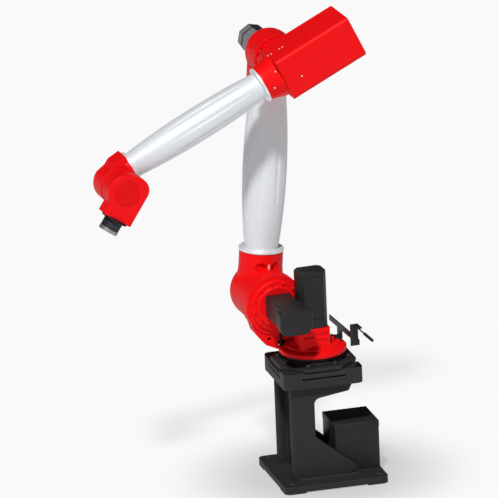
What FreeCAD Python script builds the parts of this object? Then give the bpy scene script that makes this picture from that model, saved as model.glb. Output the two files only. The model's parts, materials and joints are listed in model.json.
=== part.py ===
"""Six-axis industrial robot arm on a cast pedestal. Millimetres, +Z up.

The origin is the middle of the pedestal's bolt pattern, on the floor.  +X is the way
the arm reaches and +Y is the robot's left.  The arm stands in its parked pose: swung a
few degrees, lower arm leaning back, forearm dipping forward, wrist bent down.
"""

import FreeCAD, Part
import math
import os

V = FreeCAD.Vector
X_AXIS, Y_AXIS, Z_AXIS = V(1, 0, 0), V(0, 1, 0), V(0, 0, 1)

# ---- clearances -----------------------------------------------------------------
RUNNING_GAP = 0.3            # between flat faces that turn past each other
PLATE_MARGIN = 2.0           # a box keeps this far inside the plate it stands on

# ---- pedestal -------------------------------------------------------------------
PLATE_SIDE = 500.0           # square foot plate
PLATE_THICK = 28.0
PLATE_CORNER_R = 30.0
PAD_SIDE = 100.0             # corner pads under the foot plate
PAD_HEIGHT = 6.0
ANCHOR_SPACING = 420.0       # floor bolts, square pattern
ANCHOR_HOLE_R = 9.0
SPOTFACE_R = 19.0
SPOTFACE_DEPTH = 3.0
COLUMN_FRONT = 184.0         # front face of the column
COLUMN_REAR = 72.0           # rear face of the column's upright part
COLUMN_WIDTH = 320.0
SIDE_THICK = 46.0            # thickness of each side cheek
CHANNEL_DEPTH = 48.0         # open channel in the column's front
COLUMN_EDGE_R = 22.0
COLUMN_HEIGHT = 452.0
GUSSET_TOP = 235.0           # height where the rear gusset starts
GUSSET_REAR = -112.0         # where the gusset's slope ends
GUSSET_TOE_HEIGHT = 47.0     # height of the gusset's toe above the foot plate
SHELF_REAR = -95.0           # rear end of the flare under the head
SHELF_DROP = 40.0            # how far the flare hangs below the head at its rear end
SHELF_SLOPE = 24.0           # extra drop of the flare where it meets the column
FLARE_R = 30.0               # rounding where the flare meets the column
HEAD_SIDE = 380.0
HEAD_THICK = 75.0
HEAD_CORNER_R = 30.0
HEAD_SLOT_LENGTH = 212.0     # long thin slots in the head's sides
HEAD_SLOT_HEIGHT = 9.0
HEAD_SLOT_DEPTH = 14.0
HEAD_SLOT_DROP = 30.0        # slot's centre below the head's top
RELIEF_LENGTH = 200.0        # sloped relief above each slot
RELIEF_IN = 20.0
RELIEF_DOWN = 17.0
EAR_HOLE_R = 9.0
EAR_HOLE_SPACING = 310.0
TOP_PLATE_SIDE = 366.0
TOP_PLATE_THICK = 16.0
TOP_PLATE_CHAMFER = 96.0
BEARING_R = 134.0
BEARING_HEIGHT = 34.0
BOX_LENGTH = 212.0           # connection box behind the column
BOX_WIDTH = 219.0
BOX_HEIGHT = 230.0
BOX_OFFSET_Y = -3.5

# ---- turret ---------------------------------------------------------------------
SWING_X = 28.0               # swing axis in front of the foot plate's middle
DISC_R = 158.0
DISC_RIM_HEIGHT = 20.0
DISC_STEP_1_R = 130.0
DISC_STEP_1_Z = 30.0
DISC_STEP_2_R = 104.0
DISC_HEIGHT = 50.0
SHOULDER_X = 159.5           # lower-arm axis in front of the swing axis
SHOULDER_Z = 840.6           # lower-arm axis above the floor
SHOULDER_R = 142.0
SHOULDER_FAR = -115.0        # bearing face for the lower arm
SHOULDER_NEAR = -40.0        # near face of the outer ring
WEB_NEAR = -48.0             # near face of the web under the shoulder ring
SHOULDER_STEP_1 = (120.0, -24.0)     # radius and near face of the first step
SHOULDER_STEP_2 = (96.0, -6.0)       # radius and near face of the second step
WEB_HOLE_R = 9.0
SWING_MOTOR_X = (-50.0, 86.0)
SWING_MOTOR_Y = (2.0, 104.0)
SWING_MOTOR_CHAMFER = 20.0
SWING_MOTOR_TOP = 1024.0
MOTOR_PAD_TOP = 746.0
MOTOR_PAD_SIDE = 5.0         # the pad reaches this far past the motor it carries
LIFT_MOTOR_WIDTH = 118.0
LIFT_MOTOR_HEIGHT = 124.0
LIFT_MOTOR_CHAMFER = 25.0
LIFT_MOTOR_END = 215.0
LIFT_CAP_WIDTH = 157.0
LIFT_CAP_END = 267.0
LIFT_CAP_CORNER_R = 26.0     # upper corners
LIFT_CAP_LOWER_R = 45.0
BRACKET_X = -133.0           # cable bracket behind the turret
BRACKET_THICK = 6.0
BRACKET_Y = (-140.0, 275.0)
BRACKET_Z = (696.0, 722.0)
BRACKET_FOOT = 60.0
BRACKET_POST_WIDTH = 37.0
BRACKET_POST_TOP = 800.0
BRACKET_TAB = 60.0
GUIDE_THIN = (3.5, 86.0)     # radius and length of the guide rod's thin part
GUIDE_THICK = (7.0, 110.0)   # and of its grip

# ---- lower arm ------------------------------------------------------------------
LOWER_LENGTH = 1151.6        # shoulder axis to elbow axis
LOWER_PLANE = -275.0         # the lower arm's middle plane
POT_R = 132.0                # round housing at the shoulder
POT_FAR = -393.0
POT_EDGE_R = 95.0             # domed far end
NECK_R = 103.0
NECK_BASE_R = 124.0
NECK_BASE_Z = 34.0
NECK_STRAIGHT_Z = 128.0
POCKET_R = 25.0              # two cast pockets in the near side of the neck
POCKET_Z = 138.0
POCKET_SPREAD = 36.0
POCKET_SHIFT = -6.0          # the rib between them, off the arm's middle
POCKET_DEPTH = 18.0
LOWER_RING_R = 106.0
LOWER_RING_Z = 204.0
RING_THICK = 11.0
LOWER_TUBE_R = (79.0, 103.0, 84.0)   # at the foot, at the waist and at the top
UPPER_RING_Z = 962.0
UPPER_RING_R = 96.0
HUB_R = 113.0                # round housing at the elbow
HUB_NEAR = -160.0
HUB_FAR = -372.0
HUB_EDGE_R = 90.0             # domed far end
HUB_NECK_R = (93.0, 80.0)
FLUTE_COUNT = 8
FLUTE_DEPTH = 4.0
FLUTE_R = 30.0
FLUTE_TURN = 17.5            # first flute, from straight ahead
ELBOW_MOTOR_SIDE = 116.0
ELBOW_MOTOR_CHAMFER = 20.0
ELBOW_MOTOR_FLANGE = 14.0
ELBOW_FLANGE_R = 70.0
ELBOW_BOSS_MARGIN = 3.0      # flat boss on the dome, past the motor's flange
ELBOW_MOTOR_LENGTH = 103.0
ELBOW_MOTOR_CAP = 60.0
ELBOW_MOTOR_CAP_STEP = 8.0
ELBOW_MOTOR_TURN = 38.0      # how the motor is clocked on the lower arm

# ---- elbow and forearm ----------------------------------------------------------
COVER_FRONT = 65.0           # rear cover, along the forearm from the elbow axis
COVER_REAR = -330.0
COVER_HEIGHT = 212.0
COVER_WIDTH = 243.0
COVER_EDGE_R = 22.0
COVER_END_R = 8.0
ELBOW_R = 112.0
ELBOW_WAIST_R = 97.0         # recessed neck between the elbow's two castings
ELBOW_FRONT = 150.0
ELBOW_NOSE_R = (104.0, 86.0)
ELBOW_RIM = 12.0
REAR_RING_R = 87.0
FOREARM_FRONT = 862.0        # front ring's rear face from the elbow axis
FRONT_RING_R = 74.0
FOREARM_TUBE_R = (64.5, 78.5, 60.0)
FOREARM_FLUTE_DEPTH = 2.6
WRIST_AXIS_X = 965.0         # bend axis from the elbow axis, along the forearm
WRIST_AXIS_DROP = 37.0       # bend axis below the forearm's middle line
FORK_HALF = 56.5             # half thickness of the wrist housing
FORK_BOSS_END = 79.0         # near face of its boss, outside the front ring
FORK_BOSS_R = 86.0
FORK_R = 92.0
FORK_SHOULDER_X = 932.0
FORK_NOSE_X = 960.0
FORK_COLLAR = 22.0

# ---- wrist and tool flange ------------------------------------------------------
WRIST_THICK = 93.0
WRIST_R = 91.0
WRIST_FACE = 131.0           # tool face of the wrist body from the bend axis
WRIST_BOTTOM = 96.0          # lower side of the tool block from the bend axis
WRIST_TOP = 47.0             # upper side of the wrist's tool block from the bend axis
WRIST_CORNER_R = 60.0        # lower rear corner
WRIST_EDGE_R = 6.0
CAP_R = 58.0
CAP_THICK = 3.0
ROLL_DROP = 26.0             # roll axis below the bend axis
SEAL_R = 63.0
SEAL_THICK = 8.0
FLANGE_R = 45.0
FLANGE_LENGTH = 44.0
FACE_R = 46.0
FACE_THICK = 15.0
TOOL_PCD = 80.0
TOOL_HOLE_R = 4.2
TOOL_HOLE_DEPTH = 12.0
TOOL_HOLES = 6
PILOT_R = 25.0
PILOT_DEPTH = 6.0

# ---- parked pose ----------------------------------------------------------------
REST_SWING = 3.5
LOWER_LEAN = 4.9
FOREARM_DIP = 25.3
WRIST_BEND = 30.7

# ---- levels worked out from the sizes above -------------------------------------
PLATE_TOP = PAD_HEIGHT + PLATE_THICK
HEAD_BOTTOM = PLATE_TOP + COLUMN_HEIGHT
HEAD_TOP = HEAD_BOTTOM + HEAD_THICK
TOP_PLATE_TOP = HEAD_TOP + TOP_PLATE_THICK
BEARING_TOP = TOP_PLATE_TOP + BEARING_HEIGHT
DISC_BOTTOM = BEARING_TOP + RUNNING_GAP
DISC_TOP = DISC_BOTTOM + DISC_HEIGHT


# ---- small helpers --------------------------------------------------------------
def block(x, y, z):
    """Box between the two values of each pair."""
    return Part.makeBox(x[1] - x[0], y[1] - y[0], z[1] - z[0], V(x[0], y[0], z[0]))


def rod(radius, start, end):
    """Round bar between two points."""
    way = V(*end) - V(*start)
    return Part.makeCylinder(radius, way.Length, V(*start), way)


def cone(radius_1, radius_2, start, end):
    way = V(*end) - V(*start)
    return Part.makeCone(radius_1, radius_2, way.Length, V(*start), way)


def spun(outline, base, axis):
    """Solid of revolution of (radius, height) points about an axis through base."""
    frame = FreeCAD.Placement(V(*base), FreeCAD.Rotation(Z_AXIS, axis))
    points = [V(r, 0, h) for r, h in outline]
    face = Part.Face(Part.makePolygon(points + points[:1]))
    solid = face.revolve(V(0, 0, 0), Z_AXIS, 360)
    return placed(solid, frame)


def placed(shape, frame):
    """Copy of a shape carried into a frame."""
    moved = shape.copy()
    moved.Placement = frame * moved.Placement
    return moved


def prism(points, y):
    """Outline in the X-Z plane, as (x, z) points, made solid between two y values."""
    corners = [V(x, y[0], z) for x, z in points]
    face = Part.Face(Part.makePolygon(corners + corners[:1]))
    return face.extrude(V(0, y[1] - y[0], 0))


def along(shape, axis, low=-1e9, high=1e9):
    """Straight edges parallel to an axis whose middle lies within two heights."""
    chosen = []
    for edge in shape.Edges:
        if len(edge.Vertexes) != 2 or not isinstance(edge.Curve, Part.Line):
            continue
        way = edge.Vertexes[1].Point - edge.Vertexes[0].Point
        middle = edge.CenterOfMass.z
        if abs(abs(way.normalize().dot(axis)) - 1) < 1e-6 and low <= middle <= high:
            chosen.append(edge)
    return chosen


def rounded_block(x, y, z, radius, axis=Z_AXIS):
    solid = block(x, y, z)
    return solid.makeFillet(radius, along(solid, axis))


def chamfered_block(x, y, z, size, axis=Z_AXIS):
    solid = block(x, y, z)
    return solid.makeChamfer(size, along(solid, axis))


def round_rims(shape, radius, test):
    """Fillet the circular edges whose centre passes a test."""
    rims = [e for e in shape.Edges if isinstance(e.Curve, Part.Circle) and test(e)]
    return shape.makeFillet(radius, rims)


def corners_of(spacing):
    half = spacing / 2
    return [(sx * half, sy * half) for sx in (-1, 1) for sy in (-1, 1)]


# ---- pedestal -------------------------------------------------------------------
def foot_plate():
    half = PLATE_SIDE / 2
    plate = rounded_block((-half, half), (-half, half), (PAD_HEIGHT, PLATE_TOP), PLATE_CORNER_R)
    for x, y in corners_of(ANCHOR_SPACING):
        plate = plate.cut(rod(ANCHOR_HOLE_R, (x, y, 0), (x, y, PLATE_TOP)))
        plate = plate.cut(rod(SPOTFACE_R, (x, y, PLATE_TOP - SPOTFACE_DEPTH), (x, y, PLATE_TOP)))
    return plate


def foot_pads():
    half = PLATE_SIDE / 2
    whole = rounded_block((-half, half), (-half, half), (0, PAD_HEIGHT), PLATE_CORNER_R)
    inner = half - PAD_SIDE
    whole = whole.cut(block((-half, half), (-inner, inner), (0, PAD_HEIGHT)))
    whole = whole.cut(block((-inner, inner), (-half, half), (0, PAD_HEIGHT)))
    for x, y in corners_of(ANCHOR_SPACING):
        whole = whole.cut(rod(ANCHOR_HOLE_R, (x, y, 0), (x, y, PAD_HEIGHT)))
    return whole


def cheek_outline():
    """Side view of a column cheek: upright front, gusset below, flare above."""
    toe = PLATE_TOP + GUSSET_TOE_HEIGHT
    shelf = HEAD_BOTTOM - SHELF_DROP
    return [
        (COLUMN_FRONT, PLATE_TOP), (COLUMN_FRONT, HEAD_BOTTOM),
        (SHELF_REAR - SHELF_DROP / 2, HEAD_BOTTOM), (SHELF_REAR, shelf),
        (COLUMN_REAR, shelf - SHELF_SLOPE), (COLUMN_REAR, GUSSET_TOP),
        (GUSSET_REAR, toe), (GUSSET_REAR - toe / 4, PLATE_TOP),
    ]


def column_cheek(side):
    """One of the two cheeks; side is +1 for the robot's left."""
    inner = COLUMN_WIDTH / 2 - SIDE_THICK
    low, high = sorted((side * inner, side * COLUMN_WIDTH / 2))
    cheek = prism(cheek_outline(), (low, high))
    front = [e for e in along(cheek, Z_AXIS) if e.CenterOfMass.x > COLUMN_FRONT - 1]
    cheek = cheek.makeFillet(COLUMN_EDGE_R, front)
    flare = [e for e in along(cheek, Y_AXIS, GUSSET_TOP - 1, HEAD_BOTTOM - SHELF_DROP - 1)]
    return cheek.makeFillet(FLARE_R, flare)


def column_core():
    """Back wall of the front channel, between the cheeks."""
    inner = COLUMN_WIDTH / 2 - SIDE_THICK
    return block((COLUMN_REAR, COLUMN_FRONT - CHANNEL_DEPTH), (-inner, inner),
                 (PLATE_TOP, HEAD_BOTTOM))


def side_relief():
    """Cutter for one side of the head: slot and sloped relief, at the +Y side."""
    half = HEAD_SIDE / 2
    slot_z = HEAD_TOP - HEAD_SLOT_DROP
    run = HEAD_SLOT_LENGTH / 2
    slot = block((-run, run), (half - HEAD_SLOT_DEPTH, half + 1),
                 (slot_z - HEAD_SLOT_HEIGHT / 2, slot_z + HEAD_SLOT_HEIGHT / 2))
    slot = slot.makeFillet(HEAD_SLOT_HEIGHT * 0.49, along(slot, Y_AXIS))
    wedge_run = RELIEF_LENGTH / 2
    corners = [V(-wedge_run, half - RELIEF_IN, HEAD_TOP), V(-wedge_run, half, HEAD_TOP),
               V(-wedge_run, half, HEAD_TOP - RELIEF_DOWN)]
    wedge = Part.Face(Part.makePolygon(corners + corners[:1])).extrude(V(2 * wedge_run, 0, 0))
    return slot.fuse(wedge)


def pedestal_head():
    half = HEAD_SIDE / 2
    x = (SWING_X - half, SWING_X + half)
    head = rounded_block(x, (-half, half), (HEAD_BOTTOM, HEAD_TOP), HEAD_CORNER_R)
    for quarter in range(4):
        turn = FreeCAD.Placement(V(SWING_X, 0, 0), FreeCAD.Rotation(Z_AXIS, 90 * quarter))
        head = head.cut(placed(side_relief(), turn))
    for x, y in corners_of(EAR_HOLE_SPACING):
        x += SWING_X
        head = head.cut(rod(EAR_HOLE_R, (x, y, HEAD_BOTTOM), (x, y, HEAD_TOP)))
    return head


def robot_base_plate():
    half = TOP_PLATE_SIDE / 2
    return chamfered_block((SWING_X - half, SWING_X + half), (-half, half),
                           (HEAD_TOP, TOP_PLATE_TOP), TOP_PLATE_CHAMFER)


def swing_bearing():
    outline = [(0, 0), (BEARING_R + 12, 0), (BEARING_R + 12, 10), (BEARING_R, 16),
               (BEARING_R, BEARING_HEIGHT), (0, BEARING_HEIGHT)]
    return spun(outline, (SWING_X, 0, TOP_PLATE_TOP), Z_AXIS)


def connection_box():
    rear = -PLATE_SIDE / 2 + PLATE_MARGIN
    return block((rear, rear + BOX_LENGTH),
                 (BOX_OFFSET_Y - BOX_WIDTH / 2, BOX_OFFSET_Y + BOX_WIDTH / 2),
                 (PLATE_TOP, PLATE_TOP + BOX_HEIGHT))


# ---- turret, in the frame of the swing axis -------------------------------------
def turret_disc():
    outline = [(0, 0), (DISC_R - 3, 0), (DISC_R, 3), (DISC_R, DISC_RIM_HEIGHT),
               (DISC_R - 10, DISC_RIM_HEIGHT + 7), (DISC_STEP_1_R, DISC_STEP_1_Z),
               (DISC_STEP_1_R, DISC_STEP_1_Z + 9), (DISC_STEP_2_R, DISC_STEP_1_Z + 12),
               (DISC_STEP_2_R, DISC_HEIGHT), (0, DISC_HEIGHT)]
    return spun(outline, (0, 0, DISC_BOTTOM), Z_AXIS)


def web_outline():
    """Side view of the web that rises from the disc to the shoulder ring."""
    return [
        (SHOULDER_X + SHOULDER_R, SHOULDER_Z), (SHOULDER_X + 104, SHOULDER_Z - 124),
        (SHOULDER_X + 50, DISC_TOP - 14), (DISC_R * 0.9, DISC_TOP - 46),
        (DISC_R * 0.9, DISC_TOP), (SHOULDER_X - 130, DISC_TOP),
        (SHOULDER_X - SHOULDER_R, SHOULDER_Z),
    ]


def shoulder_web():
    """Upright web with the ring that carries the lower arm."""
    ring = rod(SHOULDER_R, (SHOULDER_X, SHOULDER_FAR, SHOULDER_Z),
               (SHOULDER_X, SHOULDER_NEAR, SHOULDER_Z))
    web = prism(web_outline(), (SHOULDER_FAR, WEB_NEAR))
    body = ring.fuse(web).removeSplitter()
    body = body.cut(rod(DISC_R + 1, (0, 0, 0), (0, 0, DISC_TOP)))
    hole = (SHOULDER_X + 34, DISC_TOP + 14)
    return body.cut(rod(WEB_HOLE_R, (hole[0], SHOULDER_FAR, hole[1]), (hole[0], 0, hole[1])))


def shoulder_cover():
    """Stepped gear cover on the near side of the shoulder ring."""
    radius_1, near_1 = SHOULDER_STEP_1
    radius_2, near_2 = SHOULDER_STEP_2
    outline = [(0, 0), (radius_1, 0), (radius_1, near_1 - SHOULDER_NEAR - 4),
               (radius_1 - 4, near_1 - SHOULDER_NEAR), (radius_2, near_1 - SHOULDER_NEAR),
               (radius_2, near_2 - SHOULDER_NEAR - 4), (radius_2 - 4, near_2 - SHOULDER_NEAR),
               (0, near_2 - SHOULDER_NEAR)]
    cover = spun(outline, (SHOULDER_X, SHOULDER_NEAR, SHOULDER_Z), Y_AXIS)
    hood = block((SWING_MOTOR_X[0], SWING_MOTOR_X[1] + RUNNING_GAP),
                 (SWING_MOTOR_Y[0] - MOTOR_PAD_SIDE, SWING_MOTOR_Y[1]), (0, SWING_MOTOR_TOP))
    return cover.cut(hood)


def swing_motor_pad():
    x = (SWING_MOTOR_X[0] - MOTOR_PAD_SIDE, SWING_MOTOR_X[1] + MOTOR_PAD_SIDE)
    y = (SWING_MOTOR_Y[0] - MOTOR_PAD_SIDE, SWING_MOTOR_Y[1] + MOTOR_PAD_SIDE)
    pad = rounded_block(x, y, (DISC_BOTTOM, MOTOR_PAD_TOP), 12)
    return pad.cut(turret_disc())


def swing_motor_cover():
    hood = chamfered_block(SWING_MOTOR_X, SWING_MOTOR_Y, (MOTOR_PAD_TOP, SWING_MOTOR_TOP),
                           SWING_MOTOR_CHAMFER)
    top = [e for e in hood.Edges if abs(e.CenterOfMass.z - SWING_MOTOR_TOP) < 1]
    return hood.makeChamfer(10, top)


def lift_motor():
    """Lower-arm motor, lying along the shoulder axis on the near side."""
    half_w, half_h = LIFT_MOTOR_WIDTH / 2, LIFT_MOTOR_HEIGHT / 2
    body = block((SHOULDER_X - half_w, SHOULDER_X + half_w),
                 (SHOULDER_STEP_2[1], LIFT_MOTOR_END), (SHOULDER_Z - half_h, SHOULDER_Z + half_h))
    return body.makeChamfer(LIFT_MOTOR_CHAMFER, along(body, Y_AXIS, high=SHOULDER_Z))


def lift_motor_cap():
    half_w, half_h = LIFT_CAP_WIDTH / 2, LIFT_MOTOR_HEIGHT / 2
    cap = block((SHOULDER_X - half_w, SHOULDER_X + half_w), (LIFT_MOTOR_END, LIFT_CAP_END),
                (SHOULDER_Z - half_h, SHOULDER_Z + half_h))
    cap = cap.makeFillet(LIFT_CAP_CORNER_R, along(cap, Y_AXIS, low=SHOULDER_Z))
    lower = along(cap, Y_AXIS, high=SHOULDER_Z - half_h / 2)
    return cap.makeFillet(LIFT_CAP_LOWER_R, lower)


def cable_bracket():
    """Sheet bracket behind the turret: foot, leg and long cross arm."""
    x = (BRACKET_X - BRACKET_THICK, BRACKET_X)
    half = BRACKET_FOOT / 2
    seat = DISC_BOTTOM + DISC_STEP_1_Z + 12
    arm = block(x, BRACKET_Y, BRACKET_Z)
    leg = block(x, (-half, half), (seat, BRACKET_Z[0]))
    foot = block((BRACKET_X - BRACKET_THICK, -DISC_STEP_2_R - 2), (-half, half),
                 (seat, seat + BRACKET_THICK))
    return arm.fuse([leg, foot]).removeSplitter()


def bracket_post():
    """Upright plate at the arm's end with a folded tab on top."""
    x = (BRACKET_X, BRACKET_X + BRACKET_POST_WIDTH)
    end = BRACKET_Y[1]
    plate = block(x, (end - BRACKET_THICK, end), (BRACKET_Z[0], BRACKET_POST_TOP))
    tab = block(x, (end, end + BRACKET_TAB), (BRACKET_POST_TOP - BRACKET_THICK, BRACKET_POST_TOP))
    return plate.fuse(tab).removeSplitter()


def guide_rod():
    x = BRACKET_X + BRACKET_POST_WIDTH / 2
    z = BRACKET_POST_TOP - BRACKET_THICK / 2
    start = BRACKET_Y[1] + BRACKET_TAB
    thin_end = start + GUIDE_THIN[1]
    thin = rod(GUIDE_THIN[0], (x, start, z), (x, thin_end, z))
    return thin.fuse(rod(GUIDE_THICK[0], (x, thin_end, z), (x, thin_end + GUIDE_THICK[1], z)))


# ---- lower arm, in a frame on the shoulder axis with Z up the arm ---------------
def barrel(radii, z):
    """Tube with a bulging waist: radii at the foot, the waist and the top."""
    foot, waist, top = radii
    middle = (z[0] + z[1]) / 2
    side = Part.Arc(V(foot, 0, z[0]), V(waist, 0, middle), V(top, 0, z[1])).toShape()
    lines = Part.makePolygon([V(top, 0, z[1]), V(0, 0, z[1]), V(0, 0, z[0]), V(foot, 0, z[0])])
    face = Part.Face(Part.Wire([side] + lines.Edges))
    return face.revolve(V(0, 0, 0), Z_AXIS, 360)


def flutes(radii, z, depth, turn):
    """Long shallow hollows round the waist that fade out towards the ends."""
    foot, waist, top = radii
    half = (z[1] - z[0]) / 2
    drop = waist - (foot + top) / 2
    reach = half * 0.68
    path_drop = drop * (reach / half) ** 2 - depth
    path_r = reach ** 2 / (2 * path_drop)
    centre = waist - depth + FLUTE_R
    hub = V(centre - path_r, 0, (z[0] + z[1]) / 2)
    circle = Part.Face(Part.Wire(Part.makeCircle(FLUTE_R, V(centre, 0, hub.z), Z_AXIS)))
    sweep = math.degrees(half * 0.95 / path_r)
    circle.rotate(hub, Y_AXIS, -sweep)
    cutter = circle.revolve(hub, Y_AXIS, 2 * sweep)
    cutters = []
    for count in range(FLUTE_COUNT):
        copy = cutter.copy()
        copy.rotate(V(0, 0, 0), Z_AXIS, turn + count * 360 / FLUTE_COUNT)
        cutters.append(copy)
    return cutters


def fluted_barrel(radii, z, depth, turn):
    return barrel(radii, z).cut(flutes(radii, z, depth, turn))


def arm_centred(shape):
    """Move a piece made on the Z axis to the lower arm's middle plane."""
    return placed(shape, FreeCAD.Placement(V(0, LOWER_PLANE, 0), FreeCAD.Rotation()))


def neck_solid():
    """Neck that flares from the ring down into the round housing."""
    flare = Part.Arc(V(NECK_BASE_R, 0, NECK_BASE_Z), V(NECK_R + 4.5, 0, NECK_STRAIGHT_Z - 42),
                     V(NECK_R, 0, NECK_STRAIGHT_Z)).toShape()
    sides = Part.makePolygon([V(NECK_R, 0, NECK_STRAIGHT_Z), V(NECK_R, 0, LOWER_RING_Z),
                              V(0, 0, LOWER_RING_Z), V(0, 0, 0), V(NECK_BASE_R, 0, 0),
                              V(NECK_BASE_R, 0, NECK_BASE_Z)])
    face = Part.Face(Part.Wire([flare] + sides.Edges))
    return face.revolve(V(0, 0, 0), Z_AXIS, 360)


def shoulder_casting():
    """Red casting at the foot of the lower arm."""
    pot = rod(POT_R, (0, POT_FAR, 0), (0, SHOULDER_FAR - RUNNING_GAP, 0))
    pot = round_rims(pot, POT_EDGE_R, lambda e: e.Curve.Center.y < POT_FAR + 1)
    casting = pot.fuse(arm_centred(neck_solid())).removeSplitter()
    surface = LOWER_PLANE + NECK_R
    for side in (-1, 1):
        x = POCKET_SHIFT + side * POCKET_SPREAD
        casting = casting.cut(rod(POCKET_R, (x, surface - POCKET_DEPTH, POCKET_Z),
                                  (x, surface + POCKET_DEPTH, POCKET_Z)))
    return casting


def lower_ring():
    top = LOWER_RING_Z + RING_THICK
    outline = [(0, LOWER_RING_Z), (LOWER_RING_R, LOWER_RING_Z), (LOWER_RING_R, top - 2),
               (LOWER_RING_R - 2, top), (0, top)]
    return arm_centred(spun(outline, (0, 0, 0), Z_AXIS))


def lower_tube():
    z = (LOWER_RING_Z + RING_THICK, UPPER_RING_Z)
    return arm_centred(fluted_barrel(LOWER_TUBE_R, z, FLUTE_DEPTH, FLUTE_TURN))


def upper_ring():
    top = UPPER_RING_Z + RING_THICK
    outline = [(0, UPPER_RING_Z), (UPPER_RING_R - 2, UPPER_RING_Z),
               (UPPER_RING_R, UPPER_RING_Z + 2), (UPPER_RING_R, top), (0, top)]
    return arm_centred(spun(outline, (0, 0, 0), Z_AXIS))


def elbow_hub():
    """Round housing about the elbow axis, domed at its far end, with the motor's flat boss."""
    hub = rod(HUB_R, (0, HUB_FAR, LOWER_LENGTH), (0, HUB_NEAR, LOWER_LENGTH))
    hub = round_rims(hub, HUB_EDGE_R, lambda e: e.Curve.Center.y < HUB_FAR + 1)
    boss = rod(ELBOW_FLANGE_R + ELBOW_BOSS_MARGIN, (0, HUB_FAR, LOWER_LENGTH),
               (0, HUB_FAR + HUB_EDGE_R / 2, LOWER_LENGTH))
    return hub.fuse(boss)


def elbow_casting():
    """Red casting at the top of the lower arm."""
    start = UPPER_RING_Z + RING_THICK
    low_r, high_r = HUB_NECK_R
    neck = cone(low_r, high_r, (0, LOWER_PLANE, start), (0, LOWER_PLANE, LOWER_LENGTH))
    return elbow_hub().fuse(neck).removeSplitter()


def clocked(shape):
    """Turn a piece of the elbow motor about the elbow axis."""
    turned = shape.copy()
    turned.rotate(V(0, 0, LOWER_LENGTH), Y_AXIS, ELBOW_MOTOR_TURN)
    return turned


def elbow_motor():
    """Elbow motor on the far side of the lower arm."""
    half = ELBOW_MOTOR_SIDE / 2
    z = (LOWER_LENGTH - half, LOWER_LENGTH + half)
    start = HUB_FAR - ELBOW_MOTOR_FLANGE
    body = chamfered_block((-half, half), (start - ELBOW_MOTOR_LENGTH, start), z,
                           ELBOW_MOTOR_CHAMFER, Y_AXIS)
    flange = rod(ELBOW_FLANGE_R, (0, start, LOWER_LENGTH), (0, HUB_FAR, LOWER_LENGTH))
    return clocked(body.fuse(flange))


def elbow_motor_cap():
    half = ELBOW_MOTOR_SIDE / 2 - ELBOW_MOTOR_CAP_STEP
    start = HUB_FAR - ELBOW_MOTOR_FLANGE - ELBOW_MOTOR_LENGTH
    cap = chamfered_block((-half, half), (start - ELBOW_MOTOR_CAP, start),
                          (LOWER_LENGTH - half, LOWER_LENGTH + half),
                          ELBOW_MOTOR_CHAMFER - ELBOW_MOTOR_CAP_STEP, Y_AXIS)
    return clocked(cap)


# ---- elbow and forearm, in a frame on the elbow axis with X along the forearm ---
def elbow_housing():
    """Casting between the lower arm and the forearm's roll bearing."""
    far = HUB_NEAR + RUNNING_GAP
    side = -COVER_WIDTH / 2
    hub = rod(ELBOW_WAIST_R, (0, far, 0), (0, side, 0))
    cheek = rod(ELBOW_R, (0, side, 0), (0, -20, 0))
    cheek = cheek.common(block((COVER_FRONT, ELBOW_R), (side, -20), (-ELBOW_R, ELBOW_R)))
    back_r, front_r = ELBOW_NOSE_R
    nose_end = ELBOW_FRONT - ELBOW_RIM
    nose = cone(back_r, front_r, (COVER_FRONT, 0, 0), (nose_end, 0, 0))
    rim = rod(front_r, (nose_end, 0, 0), (ELBOW_FRONT, 0, 0))
    return hub.fuse([cheek, nose, rim]).removeSplitter()


def rear_cover():
    half_w, half_h = COVER_WIDTH / 2, COVER_HEIGHT / 2
    cover = rounded_block((COVER_REAR, COVER_FRONT), (-half_w, half_w), (-half_h, half_h),
                          COVER_EDGE_R, X_AXIS)
    end = [e for e in cover.Edges if abs(e.CenterOfMass.x - COVER_REAR) < 0.5]
    return cover.makeFillet(COVER_END_R, end)


def lengthwise(shape):
    """Lay a piece made up the Z axis along +X."""
    return placed(shape, FreeCAD.Placement(V(0, 0, 0), FreeCAD.Rotation(Z_AXIS, X_AXIS)))


def forearm_rear_ring():
    start = ELBOW_FRONT + RUNNING_GAP
    end = start + RING_THICK
    outline = [(0, start), (REAR_RING_R, start), (REAR_RING_R, end - 2), (REAR_RING_R - 2, end),
               (0, end)]
    return spun(outline, (0, 0, 0), X_AXIS)


def forearm_tube():
    z = (ELBOW_FRONT + RUNNING_GAP + RING_THICK, FOREARM_FRONT)
    return lengthwise(fluted_barrel(FOREARM_TUBE_R, z, FOREARM_FLUTE_DEPTH, FLUTE_TURN))


def forearm_front_ring():
    end = FOREARM_FRONT + RING_THICK
    outline = [(0, FOREARM_FRONT), (FRONT_RING_R - 2, FOREARM_FRONT),
               (FRONT_RING_R, FOREARM_FRONT + 2), (FRONT_RING_R, end), (0, end)]
    return spun(outline, (0, 0, 0), X_AXIS)


def on_fork(angle, radius=FORK_R):
    """Point of the wrist housing's round end, by angle above the forearm line."""
    a = math.radians(angle)
    return WRIST_AXIS_X + radius * math.cos(a), radius * math.sin(a) - WRIST_AXIS_DROP


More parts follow.
